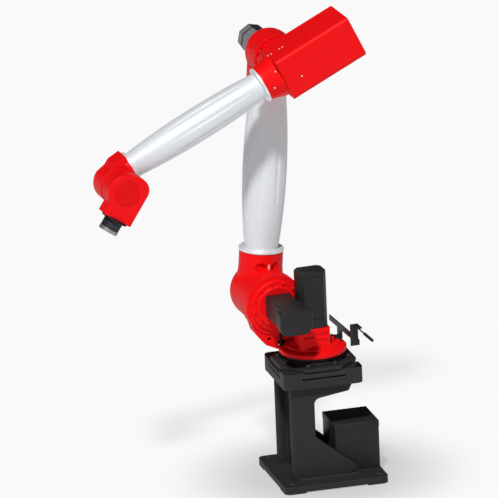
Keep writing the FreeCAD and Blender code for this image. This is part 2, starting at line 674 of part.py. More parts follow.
def wrist_housing():
    """Casting that carries the bend axis, off the forearm's front ring."""
    start = FOREARM_FRONT + RING_THICK
    top = on_fork(62)
    low = on_fork(-128)
    tip = on_fork(-20)
    ends = [V(x, -FORK_HALF, z) for x, z in (top, tip, low)]
    nose = Part.Arc(*ends).toShape()
    back = [low, (start, -FRONT_RING_R), (start, FRONT_RING_R),
            (FORK_SHOULDER_X, FRONT_RING_R - 4), (FORK_NOSE_X, FRONT_RING_R - 20), top]
    sides = Part.makePolygon([V(x, -FORK_HALF, z) for x, z in back])
    face = Part.Face(Part.Wire([nose] + sides.Edges))
    body = face.extrude(V(0, 2 * FORK_HALF, 0))
    collar = rod(FRONT_RING_R, (start, 0, 0), (start + FORK_COLLAR, 0, 0))
    boss = rod(FORK_BOSS_R, (WRIST_AXIS_X, 0, -WRIST_AXIS_DROP),
               (WRIST_AXIS_X, FORK_BOSS_END, -WRIST_AXIS_DROP))
    return body.fuse([collar, boss]).removeSplitter()


# ---- wrist, in a frame on the bend axis with X towards the tool -----------------
def wrist_body():
    near = FORK_BOSS_END + RUNNING_GAP
    far = near + WRIST_THICK
    barrel_part = rod(WRIST_R, (0, near, 0), (0, far, 0))
    lower = block((-WRIST_R, WRIST_FACE), (near, far), (-WRIST_BOTTOM, 0))
    corner = [e for e in along(lower, Y_AXIS, high=-1) if e.CenterOfMass.x < 0]
    lower = lower.makeFillet(WRIST_CORNER_R, corner)
    tool_block = block((0, WRIST_FACE), (near, far), (-WRIST_BOTTOM, WRIST_TOP))
    body = barrel_part.fuse([lower, tool_block]).removeSplitter()
    rims = [e for e in body.Edges if abs(e.CenterOfMass.y - far) < 0.01]
    return body.makeFillet(WRIST_EDGE_R, rims)


def wrist_cap():
    start = FORK_BOSS_END + RUNNING_GAP + WRIST_THICK
    outline = [(0, 0), (CAP_R, 0), (CAP_R, CAP_THICK - 1), (CAP_R - 1, CAP_THICK), (0, CAP_THICK)]
    return spun(outline, (0, start, 0), Y_AXIS)


def roll_point(x):
    """Point of the tool's roll axis at a distance from the bend axis."""
    return x, FORK_BOSS_END + RUNNING_GAP + WRIST_THICK / 2, -ROLL_DROP


def wrist_seal():
    return rod(SEAL_R, roll_point(WRIST_FACE), roll_point(WRIST_FACE + SEAL_THICK))


def tool_flange():
    start = WRIST_FACE + SEAL_THICK + RUNNING_GAP
    return rod(FLANGE_R, roll_point(start), roll_point(start + FLANGE_LENGTH))


def tool_face():
    """Bright mounting face with its bolt circle and pilot bore."""
    start = WRIST_FACE + SEAL_THICK + RUNNING_GAP + FLANGE_LENGTH
    end = start + FACE_THICK
    plate = rod(FACE_R, roll_point(start), roll_point(end))
    plate = plate.cut(rod(PILOT_R, roll_point(end - PILOT_DEPTH), roll_point(end)))
    _, mid_y, mid_z = roll_point(0)
    for count in range(TOOL_HOLES):
        a = 2 * math.pi * count / TOOL_HOLES
        y = mid_y + TOOL_PCD / 2 * math.cos(a)
        z = mid_z + TOOL_PCD / 2 * math.sin(a)
        plate = plate.cut(rod(TOOL_HOLE_R, (end - TOOL_HOLE_DEPTH, y, z), (end, y, z)))
    return plate


# ---- where each link's frame stands in the parked pose --------------------------
def turned(base, axis, angle):
    return FreeCAD.Placement(V(*base), FreeCAD.Rotation(axis, angle))


FLOOR = FreeCAD.Placement()
TURRET = turned((SWING_X, 0, 0), Z_AXIS, REST_SWING)
LOWER_ARM = TURRET * turned((SHOULDER_X, 0, SHOULDER_Z), Y_AXIS, -LOWER_LEAN)
ELBOW = LOWER_ARM * turned((0, 0, LOWER_LENGTH), Y_AXIS, LOWER_LEAN + FOREARM_DIP)
WRIST = ELBOW * turned((WRIST_AXIS_X, 0, -WRIST_AXIS_DROP), Y_AXIS, WRIST_BEND)

NODES = {
    "foot_plate": (foot_plate, FLOOR),
    "foot_pads": (foot_pads, FLOOR),
    "column_cheek_left": (lambda: column_cheek(1), FLOOR),
    "column_cheek_right": (lambda: column_cheek(-1), FLOOR),
    "column_core": (column_core, FLOOR),
    "pedestal_head": (pedestal_head, FLOOR),
    "robot_base_plate": (robot_base_plate, FLOOR),
    "swing_bearing": (swing_bearing, FLOOR),
    "connection_box": (connection_box, FLOOR),
    "turret_disc": (turret_disc, TURRET),
    "shoulder_web": (shoulder_web, TURRET),
    "shoulder_cover": (shoulder_cover, TURRET),
    "swing_motor_pad": (swing_motor_pad, TURRET),
    "swing_motor_cover": (swing_motor_cover, TURRET),
    "lift_motor": (lift_motor, TURRET),
    "lift_motor_cap": (lift_motor_cap, TURRET),
    "cable_bracket": (cable_bracket, TURRET),
    "bracket_post": (bracket_post, TURRET),
    "guide_rod": (guide_rod, TURRET),
    "shoulder_casting": (shoulder_casting, LOWER_ARM),
    "lower_ring": (lower_ring, LOWER_ARM),
    "lower_tube": (lower_tube, LOWER_ARM),
    "upper_ring": (upper_ring, LOWER_ARM),
    "elbow_casting": (elbow_casting, LOWER_ARM),
    "elbow_motor": (elbow_motor, LOWER_ARM),
    "elbow_motor_cap": (elbow_motor_cap, LOWER_ARM),
    "elbow_housing": (elbow_housing, ELBOW),
    "rear_cover": (rear_cover, ELBOW),
    "forearm_rear_ring": (forearm_rear_ring, ELBOW),
    "forearm_tube": (forearm_tube, ELBOW),
    "forearm_front_ring": (forearm_front_ring, ELBOW),
    "wrist_housing": (wrist_housing, ELBOW),
    "wrist_body": (wrist_body, WRIST),
    "wrist_cap": (wrist_cap, WRIST),
    "wrist_seal": (wrist_seal, WRIST),
    "tool_flange": (tool_flange, WRIST),
    "tool_face": (tool_face, WRIST),
}


def main():
    os.makedirs("parts", exist_ok=True)
    for name, (make, frame) in NODES.items():
        shape = placed(make(), frame)
        solids = len(shape.Solids)
        print(f"{name:22s} {solids} solid(s) {shape.Volume / 1e6:8.3f} litres {shape.isValid()}")
        shape.exportStep(f"parts/{name}.step")


main()
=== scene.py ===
# %% [markdown]
# # A six-axis robot arm on a cast pedestal
# The object is an industrial arm: red castings, two fluted silver-white tubes and black motors,
# on a black pedestal. The construction comes ready made as a fixed frame, one object for each
# piece. This lesson gives every piece its finish, and adds the parts that a construction model
# leaves plain: motor hoods with seams and soft edges, screws, beads, fillets and seals.

# %% Load the frame
import json
import math

import bmesh
import bpy
from mathutils import Matrix, Vector
from mathutils.bvhtree import BVHTree


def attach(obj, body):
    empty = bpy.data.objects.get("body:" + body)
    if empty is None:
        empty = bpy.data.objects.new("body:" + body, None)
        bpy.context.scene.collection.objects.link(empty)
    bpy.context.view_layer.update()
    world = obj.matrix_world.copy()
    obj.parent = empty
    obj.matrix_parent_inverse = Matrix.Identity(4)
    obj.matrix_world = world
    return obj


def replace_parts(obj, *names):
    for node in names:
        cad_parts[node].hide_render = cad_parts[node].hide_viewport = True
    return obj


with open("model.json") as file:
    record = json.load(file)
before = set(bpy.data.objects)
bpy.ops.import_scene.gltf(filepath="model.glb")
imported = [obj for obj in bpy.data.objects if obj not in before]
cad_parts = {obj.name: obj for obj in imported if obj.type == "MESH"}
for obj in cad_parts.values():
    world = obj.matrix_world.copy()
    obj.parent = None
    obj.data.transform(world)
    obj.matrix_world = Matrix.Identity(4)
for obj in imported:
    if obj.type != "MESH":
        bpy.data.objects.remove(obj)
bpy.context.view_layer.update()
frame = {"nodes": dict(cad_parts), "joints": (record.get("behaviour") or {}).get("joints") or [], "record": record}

# %% [markdown]
# ## Axes of each link
# The arm leans, so a piece is easiest to place in its own link's axes: X forward or towards the
# tool, Y across the arm along the three parallel pivots, Z up. The joints of the frame say where
# those axes stand, and one 4x4 matrix for each link carries a point from the link to the room.

# %% Link matrices from the joints
joints = {joint["name"]: joint for joint in frame["joints"]}


def pivot(name):
    """A joint's point and direction."""
    return Vector(joints[name]["pos_m"]), Vector(joints[name]["axis"]).normalized()


swing_point, up = pivot("base_swing")
lift_point, across = pivot("lower_arm_lift")
elbow_point, _ = pivot("forearm_lift")
bend_point, _ = pivot("wrist_bend")
forearm_way = pivot("forearm_roll")[1]
tool_way = pivot("tool_roll")[1]


def on_mid_plane(point):
    """Slide a pivot's point along the pivot to the plane through the swing axis."""
    return point - across * (point - swing_point).dot(across)


def link(origin, forward):
    """Matrix of a link: X forward, Y across, Z up."""
    rows = Matrix((forward, across, forward.cross(across)))
    return Matrix.Translation(origin) @ rows.transposed().to_4x4()


ROOM = Matrix.Identity(4)
TURRET = link(Vector((swing_point.x, swing_point.y, 0)), across.cross(up))
shoulder, elbow = on_mid_plane(lift_point), on_mid_plane(elbow_point)
arm_up = (elbow - shoulder).normalized()
LOWER_ARM = link(shoulder, across.cross(arm_up))
ELBOW = link(elbow, forearm_way)
WRIST = link(on_mid_plane(bend_point), tool_way)
arm_length = (elbow - shoulder).length
print("lower arm", round(arm_length, 4), "m from shoulder to elbow")


# %% [markdown]
# ## Measuring a piece
# A box in the room's axes says little about a tilted casting. Measured in its link's own axes,
# the same piece gives its radius, its ends and its faces, and every added part is placed on them.

# %% Extent of a node in its link's axes
def extent(node, place):
    """Lowest and highest corner of a node in a link's axes."""
    inverse = place.inverted()
    points = [inverse @ v.co for v in frame["nodes"][node].data.vertices]
    return [Vector(pick(p[k] for p in points) for k in range(3)) for pick in (min, max)]


for name, place in (("lift_motor", TURRET), ("elbow_motor", LOWER_ARM), ("rear_cover", ELBOW)):
    print(name, [tuple(round(v, 3) for v in corner) for corner in extent(name, place)])


# %% [markdown]
# ## Shader maths as plain expressions
# A finish is a small calculation: noise, masks and mixes. Wrapping a socket in a class with the
# usual operators lets that calculation be read like any other, and each sign adds its Math node.
# Everything else comes from one method that makes a node of any type.

# %% Terms and finishes
class Term:
    """A socket of a finish, with arithmetic."""

    def __init__(self, finish, socket):
        self.finish, self.socket = finish, socket

    def maths(self, operation, first, second):
        return self.finish.make("Math", {"operation": operation}, {0: first, 1: second})

    def __add__(self, other):
        return self.maths("ADD", self, other)

    def __sub__(self, other):
        return self.maths("SUBTRACT", self, other)

    def __rsub__(self, other):
        return self.maths("SUBTRACT", other, self)

    def __mul__(self, other):
        return self.maths("MULTIPLY", self, other)

    __radd__, __rmul__ = __add__, __mul__


class Finish:
    """A surface finish under construction."""

    def __init__(self, name):
        self.material = bpy.data.materials.new(name)
        self.material.use_nodes = True
        self.tree = self.material.node_tree
        self.tree.nodes.clear()
        self.place = self.make("TexCoord", output="Object")

    def make(self, kind, settings=None, values=None, output=0):
        """Any node: its type, its settings, the values or links of its sockets."""
        node = self.tree.nodes.new("ShaderNode" + kind)
        for key, value in (settings or {}).items():
            setattr(node, key, value)
        for key, value in (values or {}).items():
            if isinstance(value, Term):
                self.tree.links.new(value.socket, node.inputs[key])
            else:
                node.inputs[key].default_value = value
        return Term(self, node.outputs[output]) if node.outputs else None

    def noise(self, scale, detail=2.0, stretch=None):
        """Cloudy noise in metres, 0 to 1, drawn out along an axis where stretch says so."""
        place = self.place
        if stretch:
            place = self.make("Mapping", None, {"Vector": place, "Scale": stretch})
        return self.make("TexNoise", None, {"Vector": place, "Scale": scale, "Detail": detail})

    def mix(self, factor, low, high):
        """Mix of two colours."""
        return self.make("Mix", {"data_type": "RGBA"}, {0: factor, 6: low, 7: high}, 2)

    def mask(self, value, low, high):
        """0 below low, 1 above high."""
        return self.make("MapRange", {"interpolation_type": "SMOOTHSTEP"},
                         {"Value": value, "From Min": low, "From Max": high})

    def edges(self, radius):
        """Rounded normal, and a mask that is 1 on sharp edges."""
        rounded = self.make("Bevel", {"samples": 6}, {"Radius": radius})
        plain = self.make("NewGeometry", output="Normal")
        same = self.make("VectorMath", {"operation": "DOT_PRODUCT"}, {0: rounded, 1: plain}, 1)
        return rounded, self.mask(1 - same, 0.01, 0.16)

    def close(self, colour, roughness, height, depth, normal, **fixed):
        """Join the parts in one surface; height is a bump of that depth in metres."""
        bump = self.make("Bump", None, {"Height": height, "Distance": depth, "Normal": normal})
        values = {"Base Color": colour, "Roughness": roughness, "Normal": bump}
        values.update({key.replace("_", " "): value for key, value in fixed.items()})
        shader = self.make("BsdfPrincipled", None, values)
        self.make("OutputMaterial", None, {"Surface": shader})
        return self.material


def rgb(red, green, blue):
    return (red, green, blue, 1.0)


print("shader terms ready")

# %% [markdown]
# ## Paints
# The castings wear a smooth red coat, sprayed over sand-cast iron: it pools a little, shows faint
# orange peel, and is a lighter red on its sharp edges. The tubes carry a silver-white metallic
# paint with fine flakes. The pedestal has a thick matt black coat over rough casting.

# %% Red enamel, in two shades
def enamel(name, deep, bright, edge_red):
    f = Finish(name)
    rounded, edge = f.edges(0.004)
    clouds = f.noise(3.5, 3)
    peel = f.noise(330, 1) + f.noise(60, 2) * 0.6
    dust = f.mask(f.noise(26, 6), 0.55, 0.85)
    # Sharp edges are mixed a little towards a lighter red.
    coat = f.mix(edge * 0.35, f.mix(clouds, deep, bright), edge_red)
    colour = f.mix(dust * 0.05, coat, rgb(0.60, 0.05, 0.045))
    rough = 0.45 + clouds * 0.10 + dust * 0.10 + edge * 0.06
    return f.close(colour, rough, peel, 0.00022, rounded,
                   Coat_Weight=0.02, Coat_Roughness=0.25, Specular_IOR_Level=0.09)


# %% Silver white with flakes
def silver_white():
    f = Finish("silver_white_paint")
    rounded, edge = f.edges(0.003)
    flakes = f.mask(f.noise(420, 1), 0.54, 0.72)
    grain = f.noise(190, 3)
    clouds = f.noise(5, 3)
    base = f.mix(clouds, rgb(0.69, 0.72, 0.76), rgb(0.77, 0.80, 0.83))
    base = f.mix(grain * 0.45, base, rgb(0.50, 0.53, 0.57))
    colour = f.mix(flakes * 0.8, base, rgb(0.95, 0.97, 1.0))
    rough = 0.58 - flakes * 0.18 + clouds * 0.06 + edge * 0.05
    return f.close(colour, rough, grain + flakes * 0.5, 0.00012, rounded,
                   Metallic=0.14, Coat_Weight=0.05, Coat_Roughness=0.3)


# %% Blacks: casting, sheet and moulded covers
def black(name, tone, rough_base, grain_scale, grain_depth, edge_radius, sheen_of_edges):
    f = Finish(name)
    rounded, edge = f.edges(edge_radius)
    clouds = f.noise(4, 4)
    grain = f.noise(grain_scale, 3) + f.noise(grain_scale * 4.3, 1) * 0.4
    dust = f.mask(f.noise(14, 5), 0.52, 0.80)
    dark = rgb(tone * 0.82, tone * 0.84, tone * 0.86)
    light = rgb(tone * 1.18, tone * 1.18, tone * 1.20)
    lifted = rgb(tone * 2.6, tone * 2.6, tone * 2.7)
    colour = f.mix(edge * sheen_of_edges, f.mix(clouds, dark, light), lifted)
    colour = f.mix(dust * 0.12, colour, rgb(tone * 3.0, tone * 3.0, tone * 2.9))
    rough = rough_base + clouds * 0.10 + dust * 0.08 - edge * 0.10
    return f.close(colour, rough, grain, grain_depth, rounded, Specular_IOR_Level=0.22)


# %% Bare and plated metals
def metal(name, low, high, metallic, rough_base, stretch, lines_scale):
    f = Finish(name)
    rounded, edge = f.edges(0.0012)
    lines = f.noise(lines_scale, 2, stretch)
    clouds = f.noise(18, 4)
    colour = f.mix(clouds * 0.6 + lines * 0.4, low, high)
    rough = rough_base + lines * 0.12 + clouds * 0.08 - edge * 0.06
    return f.close(colour, rough, lines, 0.00005, rounded, Metallic=metallic)


FINISHES = {
    "red_paint": enamel("red_paint", rgb(0.80, 0.003, 0.005), rgb(0.88, 0.005, 0.007),
                        rgb(0.92, 0.035, 0.03)),
    "dark_red_cap": enamel("dark_red_cap", rgb(0.70, 0.002, 0.003), rgb(0.75, 0.003, 0.004),
                           rgb(0.74, 0.015, 0.014)),
    "silver_white_paint": silver_white(),
    "pale_ring": metal("pale_ring", rgb(0.74, 0.75, 0.76), rgb(0.86, 0.86, 0.87), 0.35, 0.34,
                       (1, 1, 24), 60),
    "black_castings": black("black_castings", 0.021, 0.52, 140, 0.0006, 0.005, 0.55),
    "black_sheet": black("black_sheet", 0.019, 0.46, 420, 0.0002, 0.002, 0.35),
    "black_covers": black("black_covers", 0.017, 0.40, 260, 0.00022, 0.003, 0.35),
    "grey_motor": black("grey_motor", 0.18, 0.38, 300, 0.0002, 0.003, 0.25),
    "black_seal": black("black_seal", 0.012, 0.62, 500, 0.0002, 0.001, 0.15),
    "black_flange": metal("black_flange", rgb(0.024, 0.026, 0.027), rgb(0.045, 0.047, 0.05), 0.6,
                          0.36, (6, 6, 6), 40),
    "bright_steel": metal("bright_steel", rgb(0.30, 0.31, 0.32), rgb(0.42, 0.43, 0.44), 0.9, 0.42,
                          (1, 1, 20), 90),
}
print("finishes:", ", ".join(FINISHES))

# %% [markdown]
# ## Finish of the frame's own pieces
# The record already names a slot for each piece. The same names are used for the finishes, so
# one loop paints the whole construction.

# %% Paint the construction
slot_of = {row["node"]: row["material_slot"] for row in frame["record"]["subparts"]}
for name, node in frame["nodes"].items():
    node.data.materials.clear()
    node.data.materials.append(FINISHES[slot_of[name]])
print("painted", len(slot_of), "pieces")


# %% [markdown]
# ## A small workshop
# New pieces are made with a few tools: a slab with soft edges, a turned ring or disc, and a
# socket screw. Each works in a place, a matrix whose origin and Z axis say where it sits, so the
# same tool serves the upright pedestal and the tilted arm.

# %% Places and softening
def spot(place, point, way=(0, 0, 1)):
    """Place at a point of a link with its Z axis along a way of that link."""
    turn = Vector(way).to_track_quat("Z", "Y").to_matrix().to_4x4()
    return place @ Matrix.Translation(point) @ turn


SQUARE_ENOUGH = 1.2      # radians between the faces of a corner that is still square


def soften(bm, edges, width, steps=2):
    """Round or chamfer some edges."""
    bmesh.ops.bevel(bm, geom=list(edges), affect="EDGES", offset=width, segments=steps,
                    profile=0.5, material=-1)


def slab(bm, low, high, corners=()):
    """Box in a link's axes. Each corner is (axis, width, test of the edge's middle, steps)."""
    size = high - low
    solid = bmesh.ops.create_cube(bm, size=1)
    for vert in solid["verts"]:
        vert.co = Vector(l + s * (c + 0.5) for l, s, c in zip(low, size, vert.co))
    for axis, width, test, steps in corners:
        soften(bm, [e for e in bm.edges if lies_along(e, axis)
                    and e.calc_face_angle(0) > SQUARE_ENOUGH and test(middle(e))], width, steps)


def middle(edge):
    return (edge.verts[0].co + edge.verts[1].co) / 2


def lies_along(edge, axis):
    way = (edge.verts[1].co - edge.verts[0].co).normalized()
    return abs(way[axis]) > 0.999


def extrude(bm, ring, vec):
    """Solid between a ring of points and the same ring moved by vec."""
    grown = bmesh.ops.extrude_face_region(bm, geom=[bm.faces.new(ring)])
    bmesh.ops.translate(bm, vec=vec,
                        verts=[v for v in grown["geom"] if isinstance(v, bmesh.types.BMVert)])


def add_shape(bm, part):
    """Put a finished part into a larger shape."""
    mesh = bpy.data.meshes.new("part")
    part.to_mesh(mesh)
    part.free()
    bm.from_mesh(mesh)
    bpy.data.meshes.remove(mesh)


# %% Finished pieces
def piece(name, bm, place, body, finish, smooth=40):
    """Close a shape: carry it to its place, paint it, and let it ride on its body."""
    bmesh.ops.remove_doubles(bm, verts=bm.verts, dist=1e-6)
    bmesh.ops.transform(bm, matrix=place, verts=bm.verts)
    bmesh.ops.recalc_face_normals(bm, faces=bm.faces)
    mesh = bpy.data.meshes.new(name)
    bm.to_mesh(mesh)
    bm.free()
    mesh.polygons.foreach_set("use_smooth", [True] * len(mesh.polygons))
    mesh.set_sharp_from_angle(angle=math.radians(smooth))
    mesh.materials.append(FINISHES[finish])
    made = bpy.data.objects.new(name, mesh)
    bpy.context.scene.collection.objects.link(made)
    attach(made, body)
    print(f"{name}: {len(mesh.polygons)} faces")
    return made


# %% Turned work and screws
def turned(bm, place, outline, steps=96):
    """Spin a closed outline of (radius, height) points about the place's Z axis."""
    old = set(bm.verts)
    verts = [bm.verts.new((r, 0, h)) for r, h in outline]
    edges = [bm.edges.new((a, b)) for a, b in zip(verts, verts[1:] + verts[:1])]
    bmesh.ops.spin(bm, geom=verts + edges, cent=(0, 0, 0), axis=(0, 0, 1),
                   angle=2 * math.pi, steps=steps, use_merge=True)
    bmesh.ops.transform(bm, matrix=place, verts=[v for v in bm.verts if v not in old])


# Head radius and height of each size of screw, in metres.
BASE_SCREW, TOE_SCREW, DISC_SCREW = (0.012, 0.011), (0.009, 0.006), (0.0075, 0.0065)
GEAR_SCREW, RECESS_SCREW, WRIST_SCREW = (0.0062, 0.005), (0.0060, 0.0065), (0.0052, 0.0036)
LID_SCREW, HOUSING_SCREW = (0.0042, 0.0022), (0.0036, 0.004)
TOP_SCREW, SIDE_SCREW = (0.0032, 0.0030), (0.0034, 0.0030)
# Steps of a screw's top, as shares of its radius: inwards, and up.
DOME_STEPS = ((0.10, 0.16), (0.22, 0.10), (0.26, 0))
SOCKET_WALL, SOCKET_SINK = 0.02, 0.4


def socket_screw(bm, place, size):
    """Head of a socket screw that stands on the place's origin."""
    radius, height = size
    lift = Matrix.Translation((0, 0, height / 2))
    made = bmesh.ops.create_cone(bm, cap_ends=True, segments=24, radius1=radius, radius2=radius,
                                 depth=height, matrix=place @ lift)
    tip = place @ Vector((0, 0, height))
    faces = {f for v in made["verts"] for f in v.link_faces}
    top = min(faces, key=lambda f: (f.calc_center_median() - tip).length)
    for inwards, rise in DOME_STEPS:
        bmesh.ops.inset_region(bm, faces=[top], thickness=radius * inwards, depth=radius * rise)
    bmesh.ops.inset_region(bm, faces=[top], thickness=radius * SOCKET_WALL,
                           depth=-height * SOCKET_SINK)


def screw_row(name, places, size, body, finish):
    """Several screws of one size as one piece."""
    bm = bmesh.new()
    for place in places:
        socket_screw(bm, place, size)
    piece(name, bm, ROOM, body, finish)


def ring_of(place, centre, way, radius, count, start=0.0):
    """Places round a circle, all facing the same way."""
    base = spot(place, centre, way)
    angles = [start + 2 * math.pi * n / count for n in range(count)]
    return [base @ Matrix.Translation((radius * math.cos(a), radius * math.sin(a), 0))
            for a in angles]


print("workshop ready")

# %% [markdown]
# ## Motor hoods
# The two big motors of the turret sit under moulded black hoods. Their outlines are plain boxes
# with chamfered or rounded corners, but what makes them look made is the rest: a soft radius on
# every edge, and the seams where parts meet. A cube is shaped along chosen edges, a fine bevel
# softens what is left sharp, and each seam is a narrow band that is cut in and pushed inwards.
# The elbow motor is made in the same way, with eight sides and several grooves.

# %% Seams and hoods
SEAM_WIDTH, SEAM_DEPTH, SEAM_LIP = 0.0026, 0.0024, 0.0002
SOFT, SHARP = 0.0022, 0.6


def sharp_edges(bm):
    return [e for e in bm.edges if e.calc_face_angle(0) > SHARP]


def cut_seam(bm, axis, level):
    """A narrow groove round a convex box at a level along one axis."""
    normal = Vector((0, 0, 0))
    normal[axis] = 1
    for side in (-0.5, 0.5):
        bmesh.ops.bisect_plane(bm, geom=bm.verts[:] + bm.edges[:] + bm.faces[:],
                               plane_co=normal * (level + side * SEAM_WIDTH), plane_no=normal)
    band = [f for f in bm.faces if abs(f.calc_center_median()[axis] - level) < SEAM_WIDTH / 4
            and abs(f.normal[axis]) < 0.5]
    bmesh.ops.inset_region(bm, faces=band, thickness=SEAM_LIP, depth=-SEAM_DEPTH)


def hood(name, node, place, body, finish, corners, seams=(), top=None, half=None):
    """Hood in the room of a node. A seam is (axis, share), the top is (axis, sign, width)."""
    low, high = extent(node, place)
    if half:
        low.x, low.z, high.x, high.z = -half, -half, half, half
    bm = bmesh.new()
    slab(bm, low, high, corners(low, high))
    if top:
        axis, sign, width = top
        level = high[axis] if sign > 0 else low[axis]
        face = [f for f in bm.faces if f.normal[axis] * sign > 0.9
                and abs(f.calc_center_median()[axis] - level) < 1e-5]
        soften(bm, {e for f in face for e in f.edges}, width, 3)
    soften(bm, sharp_edges(bm), SOFT, 3)
    for axis, share in seams:
        bm.normal_update()
        cut_seam(bm, axis, low[axis] + (high[axis] - low[axis]) * share)
    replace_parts(piece(name, bm, place, body, finish), node)


def all_edges(_):
    return True


def below(level):
    return lambda middle: middle.z < level


# %% Swing motor hood
HOOD_CHAMFER = 0.020
hood("swing_motor_hood", "swing_motor_cover", TURRET, "turret", "black_covers",
     lambda low, high: [(2, HOOD_CHAMFER, all_edges, 1)], seams=[(2, 0.16), (2, 0.90)],
     top=(2, 1, 0.010))

# %% Lift motor and its end cover
LIFT_CHAMFER = 0.025
hood("lift_motor_housing", "lift_motor", TURRET, "turret", "black_covers",
     lambda low, high: [(1, LIFT_CHAMFER, below((low.z + high.z) / 2), 1),
                        (1, 0.006, all_edges, 2)], seams=[(1, 0.12), (1, 0.55)])
hood("lift_motor_end", "lift_motor_cap", TURRET, "turret", "black_covers",
     lambda low, high: [(1, 0.044, below((low.z + high.z) / 2), 6), (1, 0.026, all_edges, 5)],
     seams=[(1, 0.30)], top=(1, 1, 0.008))

# %% Elbow motor on the far side of the elbow
def clocked(place, angle):
    """The elbow motor is turned about the elbow pivot, to lead its cables clear."""
    centre = Vector((0, 0, arm_length))
    return place @ Matrix.Translation(centre) @ Matrix.Rotation(math.radians(angle), 4, "Y")


MOTOR_TURN, MOTOR_HALF = 38.0, 0.063
MOTOR_CHAMFER = MOTOR_HALF * (2 - math.sqrt(2))
FLANGE_THICK, GROOVES = 0.014, (0.18, 0.34, 0.50, 0.66, 0.82)
MOTOR = clocked(LOWER_ARM, MOTOR_TURN)
motor_low, motor_high = extent("elbow_motor", MOTOR)
motor_end_low, motor_end_high = extent("elbow_motor_cap", MOTOR)
flange_high = motor_high.y
print("elbow motor", tuple(round(v, 3) for v in motor_high - motor_low))


# %% Elbow motor with grooves
def elbow_motor_piece():
    flange_radius, flange_start = motor_high.x, flange_high - FLANGE_THICK
    bm = bmesh.new()
    low = Vector((-MOTOR_HALF, motor_low.y, -MOTOR_HALF))
    high = Vector((MOTOR_HALF, flange_start, MOTOR_HALF))
    slab(bm, low, high, [(1, MOTOR_CHAMFER, all_edges, 1)])
    soften(bm, sharp_edges(bm), SOFT, 2)
    for share in GROOVES:
        bm.normal_update()
        cut_seam(bm, 1, low.y + (high.y - low.y) * share)
    flange = Matrix.Translation((0, flange_start, 0)) @ Matrix.Rotation(-math.pi / 2, 4, "X")
    turned(bm, flange, [(0, 0), (flange_radius - 0.002, 0), (flange_radius, 0.002),
                        (flange_radius, FLANGE_THICK), (0, FLANGE_THICK)])
    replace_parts(piece("elbow_motor_body", bm, MOTOR, "lower_arm", "grey_motor"), "elbow_motor")


elbow_motor_piece()
hood("elbow_motor_end", "elbow_motor_cap", MOTOR, "lower_arm", "grey_motor",
     lambda low, high: [(1, MOTOR_CHAMFER, all_edges, 1)], seams=[(1, 0.80)], top=(1, -1, 0.006),
     half=MOTOR_HALF)


# %% Dark band between the motor and its end cover
PROUD = 0.0008


def motor_band():
    """Seal that fills the joint of motor and end cover, a hair proud of both."""
    reach, joint = MOTOR_HALF + PROUD, motor_end_high.y
    bm = bmesh.new()
    slab(bm, Vector((-reach, joint - 0.004, -reach)), Vector((reach, joint + 0.006, reach)),
         [(1, MOTOR_CHAMFER, all_edges, 1)])
    soften(bm, bm.edges[:], 0.0006, 2)
    piece("elbow_motor_band", bm, MOTOR, "lower_arm", "black_seal")


motor_band()


# %% Dark plate on the motor's upper face
def motor_top_plate():
    """Thin plate on the face of the eight-sided motor that looks most nearly upwards."""
    turns = [Matrix.Rotation(math.pi / 4 * n, 4, "Y") for n in range(8)]
    turn = max(turns, key=lambda t: (MOTOR @ t).to_3x3().col[2].z)
    slanted = turns.index(turn) % 2
    reach = (2 * MOTOR_HALF - MOTOR_CHAMFER) / math.sqrt(2) if slanted else MOTOR_HALF
    width = MOTOR_CHAMFER * math.sqrt(2) if slanted else 2 * (MOTOR_HALF - MOTOR_CHAMFER)
    bm = bmesh.new()
    slab(bm, Vector((-width / 2 + 0.001, motor_end_low.y + 0.004, reach - 0.004)),
         Vector((width / 2 - 0.001, flange_high - 0.016, reach + 0.0012)))
    soften(bm, bm.edges[:], 0.0009, 2)
    piece("elbow_motor_top", bm, MOTOR @ turn, "lower_arm", "black_covers")


motor_top_plate()

# %% [markdown]
# ## Connection box
# The box behind the column is folded sheet: four walls and a lid that laps over them by a
# finger's width. The lap and the lid's screws are what tell sheet from solid, so the lid is a
# piece of its own, slightly wider than the walls.

# %% Box and lid
LID_LAP, LID_SHEET, LID_ROUND = 0.030, 0.0015, 0.0032
LID_SCREW_INSET, WALL_ROUND = 0.025, 0.003
box_low, box_high = extent("connection_box", ROOM)


def box_piece():
    bm = bmesh.new()
    slab(bm, box_low, box_high - Vector((0, 0, LID_SHEET)))
    soften(bm, bm.edges[:], WALL_ROUND, 3)
    walls = piece("connection_box_walls", bm, ROOM, "pedestal", "black_sheet")
    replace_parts(walls, "connection_box")
    bm = bmesh.new()
    out = Vector((LID_SHEET, LID_SHEET, 0))
    slab(bm, Vector((box_low.x, box_low.y, box_high.z - LID_LAP)) - out, box_high + out)
    rim = box_high.z - LID_LAP + 1e-4
    soften(bm, [e for e in bm.edges if middle(e).z > rim], LID_ROUND, 3)
    piece("connection_box_lid", bm, ROOM, "pedestal", "black_sheet")


box_piece()
lid_z = box_high.z - LID_LAP / 2
lid_x = [box_low.x + LID_SCREW_INSET, (box_low.x + box_high.x) / 2, box_high.x - LID_SCREW_INSET]
screw_row("lid_screws", [spot(ROOM, (x, y, lid_z), (0, way, 0)) for x in lid_x
                         for y, way in ((box_high.y + LID_SHEET, 1), (box_low.y - LID_SHEET, -1))],
          LID_SCREW, "pedestal", "black_sheet")

# %% [markdown]
# ## Pedestal details
# A casting has no sharp inner corner: metal is poured, so a fillet runs wherever a wall meets a
# plate. Each one is a strip with a hollow quarter-round face. Screws hold the robot's base to
# the pedestal's head, and a small one marks each gusset's toe.

# %% Cast fillets
FILLET = 0.007
FILLET_STEPS = 6


